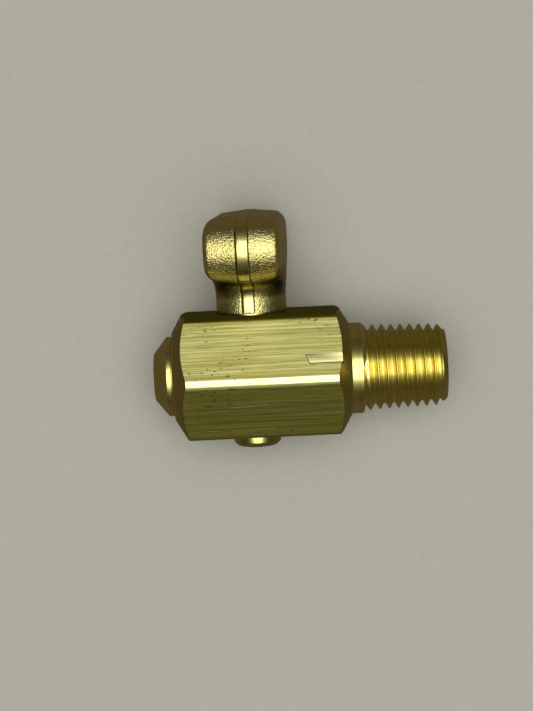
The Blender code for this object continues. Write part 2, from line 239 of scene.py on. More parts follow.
# Marks on the body
CHAMFER_RADIUS = 6.95 * MM  # wider than this, a turned surface of the body is a chamfer, which gets painted shade
UPPER_FLAT = math.radians(60)  # the direction that a flat faces, from +Y towards +Z
LOWER_FLAT = math.radians(120)
LOWER_SCRATCHES = (
    ((-7.4 * MM, 3.42 * MM), (-5.2 * MM, 3.56 * MM), 0.13 * MM),
    ((-4.1 * MM, -0.77 * MM), (2.1 * MM, -1.15 * MM), 0.12 * MM),
    ((-3.6 * MM, 3.55 * MM), (3.2 * MM, 3.30 * MM), 0.14 * MM),
)  # from, to and half-width, as distances along the flow axis and down the flat
UPPER_SCRATCHES = (
    ((MARK_START, MARK_BOTTOM + 0.16 * MM), (13.5 * MM, MARK_BOTTOM + 0.12 * MM), 0.13 * MM),
)
SCRATCH_END = 0.4 * MM  # length over which a scratch fades out
SCRATCH_DEPTH = 0.05 * MM

# Colours, as linear red, green and blue
BRASS = (0.88, 0.75, 0.30)
DRAWN_BRASS = (0.88, 0.79, 0.28)
STREAK_DULL = (0.70, 0.62, 0.18)
STREAK_BRIGHT = (1.0, 0.97, 0.40)
SHORT_LINE = (0.48, 0.41, 0.09)
STAIN = (0.72, 0.64, 0.22)
PIT_DARK = (0.18, 0.14, 0.05)
# painted highlight on the narrow flat of the two edges level with the flow axis
EDGE_PAINTED_HIGHLIGHT = (1.0, 0.96, 0.50)
# painted shade on the flats below the front edge and on the top flat, with its tint
FLAT_PAINTED_SHADE = (0.07, 0.062, 0.0)
FLAT_PAINTED_SHADE_TINT = (1.0, 0.98, 0.72)
TORN_DULL = (0.70, 0.60, 0.24)
TORN_BRIGHT = (0.98, 0.92, 0.45)
# painted shade on the draw mark's end wall and in its tear
TORN_PAINTED_SHADE = (0.14, 0.11, 0.03)
TURNED_DULL = (0.86, 0.75, 0.25)
TURNED_BRIGHT = (0.98, 0.87, 0.34)
TURNED_STAIN = (0.76, 0.64, 0.20)
CHAMFER_PAINTED_SHADE = (0.34, 0.24, 0.06)
FORGED_BRIGHT = (1.0, 0.87, 0.37)
FORGED_DULL = (0.94, 0.80, 0.29)
FORGED_GRAIN = (0.76, 0.62, 0.19)
UNDER_BAR_PAINTED_SHADE = (0.10, 0.07, 0.01)
# darker colour along the two lines beside the flash
FLASH_LINE_DARK = (0.10, 0.06, 0.02)
STEEL = (0.56, 0.56, 0.57)
STEEL_DARK = (0.36, 0.35, 0.34)
STEEL_PALE = (0.60, 0.60, 0.61)
FLOOR = (0.81, 0.785, 0.71)
FLOOR_DARK = (0.77, 0.745, 0.675)
FLOOR_PALE = (0.85, 0.825, 0.745)


# ---------------------------------------------------------------- meshes


def new_object(name, mesh):
    """An object in the scene, with that mesh or camera."""
    obj = bpy.data.objects.new(name, mesh)
    bpy.context.scene.collection.objects.link(obj)
    return obj


def mesh_object(name, points, faces, materials, indices=None):
    """A closed mesh, with faces pointing out and points that coincide merged."""
    mesh = bpy.data.meshes.new(name)
    mesh.from_pydata([tuple(point) for point in points], [], faces)
    for finish in materials:
        mesh.materials.append(finish)
    if indices is not None:
        mesh.polygons.foreach_set("material_index", indices)
    bm = bmesh.new()
    bm.from_mesh(mesh)
    bmesh.ops.remove_doubles(bm, verts=bm.verts, dist=MERGE_DISTANCE)
    bmesh.ops.recalc_face_normals(bm, faces=bm.faces)
    bm.to_mesh(mesh)
    bm.free()
    return new_object(name, mesh)


def around(axis, along, radius, angle):
    """The point that far along the axis and that far from it.

    Angle 0 is +Y about X, turning to +Z; +Z about Y, turning to +X; and +Y about Z, turning to +X.
    """
    across = radius * math.cos(angle)
    aside = radius * math.sin(angle)
    if axis == "X":
        return (along, across, aside)
    if axis == "Y":
        return (aside, along, across)
    return (aside, across, along)


def rounded(corners, steps=4):
    """The outline with each corner, (along, radius, setback), eased by a curve that starts that far off."""
    points = [tuple(corners[0][:2])]
    for before, corner, after in zip(corners, corners[1:], corners[2:]):
        at = Vector(corner[:2])
        sides = []
        for other in (before, after):
            way = Vector(other[:2]) - at
            sides.append(at + way * min(corner[2] / way.length, MOST_SETBACK))
        for step in range(steps + 1):
            t = step / steps
            points.append(tuple(sides[0] * (1 - t) ** 2 + at * 2 * t * (1 - t) + sides[1] * t * t))
    points.append(tuple(corners[-1][:2]))
    return points


def turned(name, axis, corners, materials, segments=FINE_SEGMENTS, ring=False):
    """A solid of revolution from (along, radius, setback) corners. A ring's outline closes on itself."""
    outline = rounded(corners + corners[:2])[1:-1] if ring else rounded(corners)
    points = []
    for along, radius in outline:
        points += [around(axis, along, radius, math.tau * k / segments) for k in range(segments)]
    rows = len(outline)
    faces = []
    for row in range(rows if ring else rows - 1):
        low = row * segments
        high = (row + 1) % rows * segments
        for k in range(segments):
            after = (k + 1) % segments
            faces.append((low + k, high + k, high + after, low + after))
    if not ring:
        faces += [tuple(range(segments)), tuple(range((rows - 1) * segments, rows * segments))]
    return mesh_object(name, points, faces, materials)


def cut(obj, operation, other):
    """Applies a Boolean, and removes the other object."""
    modifier = obj.modifiers.new(operation.lower(), "BOOLEAN")
    modifier.operation = operation
    modifier.solver = "EXACT"
    modifier.material_mode = "TRANSFER"
    modifier.object = other
    apply_modifiers(obj)
    bpy.data.objects.remove(other, do_unlink=True)


def apply_modifiers(obj):
    """Puts the evaluated mesh in place of the object's mesh and modifiers."""
    graph = bpy.context.evaluated_depsgraph_get()
    graph.update()
    made = bpy.data.meshes.new_from_object(obj.evaluated_get(graph))
    old = obj.data
    obj.modifiers.clear()
    obj.data = made
    bpy.data.meshes.remove(old)


def smooth(obj):
    """Smooth shading that keeps edges sharper than SHARP_ANGLE, with flats weighted to stay flat."""
    obj.data.shade_smooth()
    obj.data.set_sharp_from_angle(angle=SHARP_ANGLE)
    weighted = obj.modifiers.new("weighted normals", "WEIGHTED_NORMAL")
    weighted.keep_sharp = True


def soft_min(a, b, width):
    """The smaller of a and b, eased where they differ by less than width."""
    ease = np.maximum(width - np.abs(a - b), 0) / width
    return np.minimum(a, b) - ease * ease * width / 4


def soft_max(a, b, width):
    """The larger of a and b, eased in the same way."""
    return -soft_min(-a, -b, width)


# ---------------------------------------------------------------- body


def hex_columns():
    """Angles about the flow axis: even over each flat, close together beside each edge."""
    half = list(EVEN_COLUMNS) + list(COLUMNS_BESIDE_EDGE)
    sector = [-angle for angle in reversed(half)] + half + [FLAT_ANGLE / 2]
    return np.radians([FLAT_ANGLE * flat + angle for flat in range(6) for angle in sector])


def hex_radius(angles):
    """Distance from the flow axis to the bar's surface, with a narrow flat along each edge."""
    sixth = math.radians(FLAT_ANGLE)
    to_flat = (angles + sixth / 2) % sixth - sixth / 2
    to_edge = angles % sixth - sixth / 2
    flat = HEX_APOTHEM / np.cos(to_flat)
    edge = HEX_EDGE_RADIUS / np.cos(to_edge)
    return soft_min(flat, edge, HEX_EDGE_ROUNDING)


def crest_radius(along):
    """Radius of the thread's crests, which taper towards the end face."""
    return THREAD_LAND_RADIUS - THREAD_LAND_STEP - (along - THREAD_START) * THREAD_TAPER


def thread_envelope(along):
    """Radius of the thread's blank: a step down from the land, the taper, and the end chamfer."""
    step = THREAD_LAND_RADIUS - (along - THREAD_START)
    start = np.minimum(THREAD_LAND_RADIUS, soft_max(step, crest_radius(along), THREAD_ROUNDING))
    chamfer = crest_radius(THREAD_END - THREAD_END_CHAMFER)
    chamfer = chamfer - (along - THREAD_END + THREAD_END_CHAMFER) * THREAD_END_CHAMFER_SLOPE
    return soft_min(start, chamfer, THREAD_ROUNDING)


def thread_radius(along, angles):
    """Radius of the threaded end, with the groove as a true helix that fades in beside the land."""
    turns = (along - GROOVE_START) / THREAD_PITCH - angles / math.tau
    turn = np.round(turns)
    off = np.abs(turns - turn) * THREAD_PITCH
    centre = GROOVE_START + THREAD_PITCH * (turn + angles / math.tau)
    inner = THREAD_END + THREAD_PITCH * (GROOVE_LEAD_IN - GROOVE_TURNS)
    rise = np.maximum(0, 1 - (centre - inner) / THREAD_PITCH / GROOVE_RUNOUT)
    floor = crest_radius(along) - THREAD_DEPTH + rise * THREAD_DEPTH * GROOVE_OVERCUT
    flank = floor + (off - THREAD_ROOT_FLAT / 2) * THREAD_FLANK_SLOPE
    wall = np.maximum(0, THREAD_LAND_END + THREAD_DEPTH / 2 - along) * GROOVE_WALL_SLOPE
    groove = soft_max(floor, flank, THREAD_ROUNDING * 2) + wall
    return soft_min(thread_envelope(along), groove, THREAD_ROUNDING)


def blank_outline(radius):
    """Corners of the blank, from the nose's tip to the land, in a column where the bar has that radius."""
    chamfer = (HEX_EDGE_RADIUS - radius) * CHAMFER_SLOPE
    undercut_radius = NOSE_LAND_RADIUS - UNDERCUT_DEPTH
    small_break = EDGE_BREAK / 3
    return [
        (-NOSE_TIP, BLANK_CORE, 0),
        (-NOSE_TIP, NOSE_TIP_RADIUS, EDGE_BREAK),
        (-NOSE_TIP + NOSE_BEVEL_LENGTH, NOSE_LAND_RADIUS, EDGE_BREAK),
        (-NOSE_LAND_START - UNDERCUT_WIDTH, NOSE_LAND_RADIUS, small_break),
        (-NOSE_LAND_START - UNDERCUT_WIDTH / 2, undercut_radius, small_break),
        (-NOSE_LAND_START, undercut_radius, small_break),
        (-NOSE_LAND_START, NOSE_SHOULDER_RADIUS, EDGE_BREAK),
        (-HEX_EDGE_TO_NOSE - chamfer, radius, EDGE_BREAK / 2),
        (HEX_EDGE_TO_THREAD + chamfer, radius, EDGE_BREAK / 2),
        (THREAD_LAND_START, THREAD_LAND_RADIUS, EDGE_BREAK / 2),
        (THREAD_LAND_END, THREAD_LAND_RADIUS, 0),
    ]


def blank_mesh(angles):
    """Points, faces and finish indices of the body from the nose's tip to the thread's land."""
    count = len(angles)
    table = np.array([rounded(blank_outline(radius)) for radius in hex_radius(angles)])
    rows = table.shape[1]
    points = []
    for row in range(rows):
        along, radius = table[:, row, 0], table[:, row, 1]
        points += [around("X", along[k], radius[k], angles[k]) for k in range(count)]
    widest = table[:, :, 1].max(axis=0)
    faces = []
    indices = []
    for row in range(rows - 1):
        low = row * count
        on_bar = min(widest[row], widest[row + 1]) > HEX_EDGE_RADIUS * NEARLY
        for k in range(count):
            after = (k + 1) % count
            faces.append((low + k, low + after, low + count + after, low + count + k))
            indices.append(DRAWN if on_bar else TURNED)
    faces.append(tuple(range(count)))
    indices.append(TURNED)
    return points, faces, indices


def thread_offsets():
    """Places of the rows in one turn of the thread, from the middle of its groove."""
    root = THREAD_ROOT_FLAT / 2
    crest = (THREAD_PITCH - THREAD_CREST_FLAT) / 2
    half = [root * ROOT_ROW]
    half += [root + gap for gap in ROWS_BESIDE_ROOT]
    half.append(FLANK_ROW)
    half += [crest + gap for gap in ROWS_BESIDE_CREST]
    return [-value for value in reversed(half)] + half


def thread_mesh(angles, start):
    """Points and faces of the threaded end, whose rows follow the helix. Points are numbered from start."""
    count = len(angles)
    offsets = thread_offsets()
    turns_back = math.ceil((GROOVE_START - THREAD_LAND_END) / THREAD_PITCH + 1.5)
    first = GROOVE_START - THREAD_PITCH * turns_back
    turns = math.ceil((THREAD_END - first) / THREAD_PITCH + 1)
    rows = [(turn, offset) for turn in range(turns) for offset in offsets]
    points = []
    for turn, offset in rows:
        along = first + THREAD_PITCH * (turn + angles / math.tau) + offset
        along = np.clip(along, THREAD_LAND_END, THREAD_END)
        radius = thread_radius(along, angles)
        points += [around("X", along[k], radius[k], angles[k]) for k in range(count)]
    last_row = len(rows) - 1
    faces = []
    for row in range(last_row):
        for k in range(count):
            after = (k + 1) % count
            shift = len(offsets) if after == 0 else 0
            low = min(row + shift, last_row)
            high = min(row + 1 + shift, last_row)
            face = (row * count + k, low * count + after, high * count + after, (row + 1) * count + k)
            faces.append(tuple(start + corner for corner in face))
    faces.append(tuple(start + last_row * count + k for k in range(count)))
    return points, faces


def make_blank(drawn_finish, turned_finish):
    """The body before it is drilled: hexagonal bar, with its turned nose and its thread."""
    angles = hex_columns()
    points, faces, indices = blank_mesh(angles)
    thread_points, thread_faces = thread_mesh(angles, len(points))
    points += thread_points
    faces += thread_faces
    indices += [TURNED] * len(thread_faces)
    blank = mesh_object("valve_body", points, faces, [drawn_finish, turned_finish], indices)
    for vertex in blank.data.vertices:
        vertex.co.x += KEY_AXIS.x
    return blank


def flow_passage():
    """Corners of the flow passage: port, drill point and thread-end bore, with both mouths chamfered."""
    drill_point = (BORE_RADIUS - PORT_RADIUS) / 2
    return [
        (-NOSE_TIP - CUT_MARGIN, PORT_RADIUS + MOUTH_CHAMFER + CUT_MARGIN, 0),
        (-NOSE_TIP + MOUTH_CHAMFER, PORT_RADIUS, MOUTH_BREAK),
        (BORE_FLOOR, PORT_RADIUS, DRILL_BREAK),
        (BORE_FLOOR + drill_point, BORE_RADIUS, DRILL_BREAK),
        (THREAD_END - MOUTH_CHAMFER, BORE_RADIUS, MOUTH_BREAK),
        (THREAD_END + CUT_MARGIN, BORE_RADIUS + MOUTH_CHAMFER + CUT_MARGIN, 0),
    ]


def tapered_seat():
    """Corners of the key's seat, which narrows downwards."""
    wall = SEAT_RADIUS + RUN_CLEARANCE
    bottom = SEAT_DEPTH + CUT_MARGIN
    top = HEX_APOTHEM + CUT_MARGIN
    return [(-bottom, wall - bottom * SEAT_TAPER, 0), (top, wall + top * SEAT_TAPER, 0)]


def spring_recess():
    """Corners of the spring's recess under the seat, with its mouth chamfered."""
    return [
        (-HEX_APOTHEM - CUT_MARGIN, RECESS_RADIUS + RECESS_CHAMFER + CUT_MARGIN, 0),
        (-HEX_APOTHEM + RECESS_CHAMFER, RECESS_RADIUS, MOUTH_BREAK),
        (-SEAT_DEPTH, RECESS_RADIUS, 0),
    ]


def make_body(drawn_finish, turned_finish, bored_finish, torn_finish):
    """The body: drawn hexagonal bar with turned ends, thread, bores, tapered seat and spring recess."""
    body = make_blank(drawn_finish, turned_finish)
    for axis, outline in (("X", flow_passage()), ("Y", tapered_seat()), ("Y", spring_recess())):
        cutter = turned("cutter", axis, outline, [bored_finish])
        cutter.location = KEY_AXIS
        cut(body, "DIFFERENCE", cutter)
    cut(body, "DIFFERENCE", draw_mark(torn_finish))
    smooth(body)
    return body


def draw_mark(finish):
    """The cutter for the draw mark: a wedge, deepest along its lower side, that runs out at the chamfer."""
    section = [
        (MARK_TOP - MARK_OPENING, MARK_OPENING),
        (MARK_TOP, 0.0),
        (TEAR, -MARK_DEPTH),
        (TEAR + TEAR_LEAN, -MARK_DEPTH * 2),
        (MARK_BOTTOM, -MARK_DEPTH * 2),
        (MARK_BOTTOM + MARK_LEAN, MARK_OPENING),
    ]
    normal = Vector((0, math.cos(UPPER_FLAT), math.sin(UPPER_FLAT)))
    down = Vector((0, -normal.z, normal.y))
    points = []
    for at_wall in (True, False):
        for across, rise in section:
            slant = (across - MARK_TOP) * MARK_END_SLANT
            sloped = max(-rise, 0)
            along = MARK_START + slant + sloped if at_wall else HEX_EDGE_TO_THREAD + CUT_MARGIN
            place = KEY_AXIS + Vector((along, 0, 0)) + normal * (HEX_APOTHEM + rise) + down * across
            points.append(place)
    count = len(section)
    faces = [tuple(range(count)), tuple(range(count, 2 * count))]
    faces += [(k, (k + 1) % count, count + (k + 1) % count, count + k) for k in range(count)]
    return mesh_object("draw_mark", points, faces, [finish])


# ---------------------------------------------------------------- key


def neck_shape(points):
    """Negative inside the neck, which flares into the handle's underside between two flat cheeks."""
    x, y, z = points.T
    below = np.clip(y - (HANDLE_BOTTOM - HANDLE_FILLET), 0, HANDLE_FILLET * NEARLY)
    flare = HANDLE_FILLET - np.sqrt(HANDLE_FILLET**2 - below**2)
    side = (np.hypot(x, z) - NECK_RADIUS - flare) * (1 - FLARE_SOFTENING * below / HANDLE_FILLET)
    cheek = np.abs(x) - NECK_RADIUS
    shape = soft_max(side, cheek, CHEEK_EASE)
    shape = soft_max(shape, y - HANDLE_MIDDLE, NECK_TOP_EASE)
    return soft_max(shape, NECK_BOTTOM - y, NECK_BOTTOM_EASE)


def inside_flash(x, edge):
    """How far inside the flash band x is, in units of edge."""
    return np.minimum(x - FLASH_LEFT, FLASH_RIGHT - x) / edge


def handle_shape(points):
    """Negative inside the crossbar: round ends, a draft on each side of the flash, and rounded rims."""
    x, y, z = points.T
    across = x - HANDLE_OFFSET
    past_reach = np.maximum(np.abs(z) - (HANDLE_LENGTH - HANDLE_HEIGHT) / 2, 0)
    out = np.hypot(y - HANDLE_MIDDLE, past_reach)
    tip = np.clip(past_reach / np.maximum(out, MM) * TIP_REACH, 0, 1)
    rim_width = HANDLE_RIM_WIDTH * (1 - TIP_RIM_WIDTH_LOSS * tip)
    rim_depth = HANDLE_RIM_DEPTH * (1 - TIP_RIM_DEPTH_LOSS * tip)
    in_flash = np.clip(inside_flash(x, FLASH_STEP), 0, 1)
    draft = np.maximum(np.maximum(FLASH_LEFT - x, x - FLASH_RIGHT), 0) * HANDLE_DRAFT
    radius = HANDLE_HEIGHT / 2 - FLASH_RISE * (1 - in_flash) - draft * DRAFT_PULL
    sideways = (np.abs(across) - HANDLE_HALF_WIDTH + rim_width) / rim_width
    outward = (out - radius + rim_depth) / rim_depth
    return (np.hypot(np.maximum(sideways, 0), np.maximum(outward, 0)) - 1) * rim_depth


def forging_shape(points):
    """Negative inside the handle or the neck, blended where they meet."""
    return soft_min(handle_shape(points), neck_shape(points), NECK_BLEND)


def project(points, shape, steps=PROJECT_STEPS):
    """Moves the points along the shape's gradient until they lie on it."""
    for _ in range(steps):
        value = shape(points)
        slopes = []
        for axis in np.eye(3) * PROJECT_PROBE:
            slopes.append((shape(points + axis) - shape(points - axis)) / (2 * PROJECT_PROBE))
        slope = np.stack(slopes, axis=1)
        size = np.maximum((slope**2).sum(1), LEAST_SLOPE_SQUARED)
        points = points - slope * np.clip(value / size, -PROJECT_MOST, PROJECT_MOST)[:, None]
    return points, slope / np.linalg.norm(slope, axis=1)[:, None]


def hammered(point):
    """Height of the hammered skin at one point: wide swells, with small dents on them."""
    swell = noise.noise(Vector(point) / SWELL_SIZE) * SWELL_HEIGHT
    return swell + noise.noise(Vector(point) / DENT_SIZE) * DENT_HEIGHT


def forged_relief(points):
    """Height of the hammered skin, and of the two lines beside the flash."""
    x, y, _ = points.T
    lines = sum(depth * np.exp(-(((x - place) / width) ** 2)) for place, width, depth in FLASH_GROOVES)
    in_flash = np.clip(inside_flash(x, FLASH_SKIN_EDGE) + 0.5, 0, 1)
    skin = np.array([hammered(point) for point in points])
    skin = skin * (1 - FLASH_SMOOTHING * in_flash) - SKIN_SINK * (1 - in_flash)
    worn_top = np.clip((y - WORN_FROM) / WORN_OVER, 0, MOST_WORN)
    return skin - lines * (1 - worn_top) - KEY_TRIM


def upper_part_of_key():
    """The faceted key from just above the body, in the key's own frame, with the cut filled."""
    mesh = frame["nodes"]["tee_key"].data.copy()
    to_key = (Matrix.Translation(KEY_AXIS) @ Matrix.Rotation(KEY_TURN, 4, "Y")).inverted()
    mesh.transform(to_key)
    bm = bmesh.new()
    bm.from_mesh(mesh)
    geometry = bm.verts[:] + bm.edges[:] + bm.faces[:]
    level = Vector((0, NECK_BOTTOM + NECK_CUT, 0))
    bmesh.ops.bisect_plane(bm, geom=geometry, plane_co=level, plane_no=(0, 1, 0), clear_inner=True)
    bmesh.ops.remove_doubles(bm, verts=bm.verts, dist=MERGE_DISTANCE * 2)
    bmesh.ops.holes_fill(bm, edges=[edge for edge in bm.edges if edge.is_boundary])
    bm.to_mesh(mesh)
    bm.free()
    return mesh


def plug_and_tail():
    """Corners of the tapered plug and the tail below it, with the plug's top inside the neck."""
    plug_bottom = SEAT_RADIUS - SEAT_DEPTH * SEAT_TAPER
    plug_top = SEAT_RADIUS + NECK_BOTTOM * SEAT_TAPER
    return [
        (TAIL_END, TAIL_CORE, 0),
        (TAIL_END, TAIL_RADIUS, 0.2 * MM),
        (-SEAT_DEPTH, TAIL_RADIUS, 0.1 * MM),
        (-SEAT_DEPTH, plug_bottom, 0.15 * MM),
        (NECK_BOTTOM, plug_top, 0),
        (NECK_BOTTOM + PLUG_IN_NECK, plug_top, 0),
    ]


def make_key(forged_finish, turned_finish):
    """The tee key: a forged handle and neck on a turned plug and tail, with the cross port."""
    key = new_object("tee_handle_key", upper_part_of_key())
    remesh = key.modifiers.new("remesh", "REMESH")
    remesh.mode = "VOXEL"
    remesh.voxel_size = REMESH_SIZE
    apply_modifiers(key)
    refine_near_flash(key.data)
    points = np.empty(len(key.data.vertices) * 3)
    key.data.vertices.foreach_get("co", points)
    points, normals = project(points.reshape(-1, 3), forging_shape)
    points += normals * forged_relief(points)[:, None]
    points[:, 1] = np.maximum(points[:, 1], NECK_BOTTOM)
    key.data.vertices.foreach_set("co", points.ravel())
    key.data.materials.clear()
    key.data.materials.append(forged_finish)

    cut(key, "UNION", turned("plug", "Y", plug_and_tail(), [turned_finish]))
    reach = SEAT_RADIUS + CUT_MARGIN
    port = [(-reach, PORT_RADIUS, 0), (reach, PORT_RADIUS, 0)]
    cut(key, "DIFFERENCE", turned("port", "Z", port, [turned_finish]))
    key.data.transform(Matrix.Rotation(KEY_TURN, 4, "Y"))
    key.location = KEY_AXIS
    smooth(key)
    return key


def refine_near_flash(mesh):
    """Splits the faces beside the flash's two lines, which are narrower than the rest of the mesh."""
    for reach in REFINED_REACHES:
        bm = bmesh.new()
        bm.from_mesh(mesh)
        chosen = []
        for edge in bm.edges:
            far = max(min(abs(end.co.x - FLASH_LEFT), abs(end.co.x - FLASH_RIGHT)) for end in edge.verts)
            if far < reach:
                chosen.append(edge)
        bmesh.ops.subdivide_edges(bm, edges=chosen, cuts=1, use_grid_fill=True)
        bmesh.ops.triangulate(bm, faces=[face for face in bm.faces if len(face.verts) > 4])
        bm.to_mesh(mesh)
        bm.free()


# ---------------------------------------------------------------- small parts


def make_cap(finish):
    """The retaining cap: a turned button with a blind hole for the tail."""
    radius = (CAP_HIGH.z - CAP_LOW.z) / 2
    low, high = CAP_LOW.y, CAP_HIGH.y
    floor = low + CAP_FLOOR
    corners = [
        (low, CAP_CORE, 0),
        (low, radius - CAP_CHAMFER, 0.15 * MM),
        (low + CAP_CHAMFER, radius, 0.2 * MM),
        (high, radius, 0.1 * MM),
        (high, TAIL_HOLE_RADIUS, DRILL_BREAK),
        (floor, TAIL_HOLE_RADIUS, DRILL_BREAK),
        (floor, CAP_CORE, 0),
    ]
    cap = turned("cap_button", "Y", corners, [finish])
    cap.location = (KEY_AXIS.x, 0, 0)
    smooth(cap)
    return cap


def make_washer(finish):
    """The thrust washer, with its edges broken."""
    radius = (WASHER_HIGH.z - WASHER_LOW.z) / 2
    low, high = WASHER_LOW.y, WASHER_HIGH.y
    outline = ((low, TAIL_HOLE_RADIUS), (low, radius), (high, radius), (high, TAIL_HOLE_RADIUS))
    corners = [(*corner, WASHER_BREAK) for corner in outline]
    washer = turned("washer_ring", "Y", corners, [finish], ring=True)
    washer.location = (KEY_AXIS.x, 0, 0)
    smooth(washer)
    return washer


def make_spring(finish):
    """The coil spring, as one swept wire."""
    radius = (SPRING_HIGH.z - SPRING_LOW.z) / 2 - SPRING_WIRE / 2
    bottom = SPRING_LOW.y + SPRING_WIRE / 2
    top = SPRING_HIGH.y - SPRING_WIRE / 2
    steps = round((top - bottom) / SPRING_PITCH * SPRING_STEPS)
    points = []
    for step in range(steps + 1):
        angle = math.tau * step / SPRING_STEPS + KEY_TURN
        height = bottom + (top - bottom) * step / steps
        for side in range(WIRE_SIDES):
            turn = math.tau * side / WIRE_SIDES
            out = radius + SPRING_WIRE / 2 * math.sin(turn)
            points.append(around("Y", height + SPRING_WIRE / 2 * math.cos(turn), out, angle))
    last = steps * WIRE_SIDES
    faces = [tuple(range(WIRE_SIDES)), tuple(range(last, last + WIRE_SIDES))]
    for low in range(0, last, WIRE_SIDES):
        high = low + WIRE_SIDES
        for side in range(WIRE_SIDES):
            after = (side + 1) % WIRE_SIDES
            faces.append((low + side, high + side, high + after, low + after))
    spring = mesh_object("coil_spring", points, faces, [finish])
    spring.location = (KEY_AXIS.x, 0, 0)
    smooth(spring)
    return spring


# ---------------------------------------------------------------- materials


class Nodes:
    """Short calls for building one material's nodes."""

    def __init__(self, name, colour, roughness, metallic=1.0):
        self.material = bpy.data.materials.new(name)
        self.material.use_nodes = True
        self.tree = self.material.node_tree
        self.shader = self.tree.nodes["Principled BSDF"]
        self.shader.inputs["Base Color"].default_value = (*colour, 1)
        self.shader.inputs["Roughness"].default_value = roughness
        self.shader.inputs["Metallic"].default_value = metallic

    def link(self, value, socket):
        """Links the value to the socket, or sets the socket where the value is a plain number or colour."""
        if isinstance(value, bpy.types.NodeSocket):
            self.tree.links.new(value, socket)
        else:
            socket.default_value = value

    def place(self):
        return self.tree.nodes.new("ShaderNodeTexCoord").outputs["Object"]

    def scaled(self, vector, scale):
        node = self.tree.nodes.new("ShaderNodeMapping")
        self.link(vector, node.inputs["Vector"])
        node.inputs["Scale"].default_value = scale
        return node.outputs["Vector"]

    def noise(self, vector, scale, detail=2.0, roughness=0.5):
        node = self.tree.nodes.new("ShaderNodeTexNoise")
        self.link(vector, node.inputs["Vector"])
        node.inputs["Scale"].default_value = scale
        node.inputs["Detail"].default_value = detail
        node.inputs["Roughness"].default_value = roughness
        return node.outputs["Fac"]

    def math(self, operation, a, b=0.0):
        node = self.tree.nodes.new("ShaderNodeMath")
        node.operation = operation
        self.link(a, node.inputs[0])
        self.link(b, node.inputs[1])
        return node.outputs[0]

    def ramp(self, value, low, high, to_low=0.0, to_high=1.0):
        """Maps low..high to to_low..to_high, with smooth ends."""
        node = self.tree.nodes.new("ShaderNodeMapRange")
        node.interpolation_type = "SMOOTHSTEP"
        self.link(value, node.inputs["Value"])
        for name, number in (("From Min", low), ("From Max", high), ("To Min", to_low), ("To Max", to_high)):
            node.inputs[name].default_value = number
        return node.outputs["Result"]

    def mix(self, factor, first, second):
        """The first colour at factor 0, the second at factor 1."""
        node = self.tree.nodes.new("ShaderNodeMix")
        node.data_type = "RGBA"
        self.link(factor, node.inputs["Factor"])
        for colour, socket in ((first, node.inputs[6]), (second, node.inputs[7])):
            self.link((*colour, 1) if isinstance(colour, tuple) else colour, socket)
        return node.outputs[2]

    def multiplied(self, first, second):
        """The product of two colours."""
        product = self.mix(1.0, first, second)
        product.node.blend_type = "MULTIPLY"
        return product

    def bump(self, height, depth, strength=1.0, normal=None):
        """A normal from a height of 0..1 that stands for that depth in metres."""
        node = self.tree.nodes.new("ShaderNodeBump")
        self.link(strength, node.inputs["Strength"])
        node.inputs["Distance"].default_value = depth
        self.link(height, node.inputs["Height"])
        if normal:
            self.link(normal, node.inputs["Normal"])
        return node.outputs["Normal"]

    def split(self, vector):
        """The outputs of a vector: X, Y and Z."""
        node = self.tree.nodes.new("ShaderNodeSeparateXYZ")
        self.link(vector, node.inputs[0])
        return node.outputs

    def rings(self, axis):
        """Coordinates (along the axis, distance from it, 0), for marks that run round a turned part."""
        place = self.split(self.place())
        across = [name for name in "XYZ" if name != axis]
        squares = [self.math("MULTIPLY", place[name], place[name]) for name in across]
        distance = self.math("SQRT", self.math("ADD", *squares))
        joined = self.tree.nodes.new("ShaderNodeCombineXYZ")
        self.link(place[axis], joined.inputs[0])
        self.link(distance, joined.inputs[1])
        return joined.outputs[0]

    def distance(self, value, place):
        """How far the value is from that place, either way."""
        return self.math("ABSOLUTE", self.math("SUBTRACT", value, place))

    def set(self, socket, value):
        self.link(value, self.shader.inputs[socket])


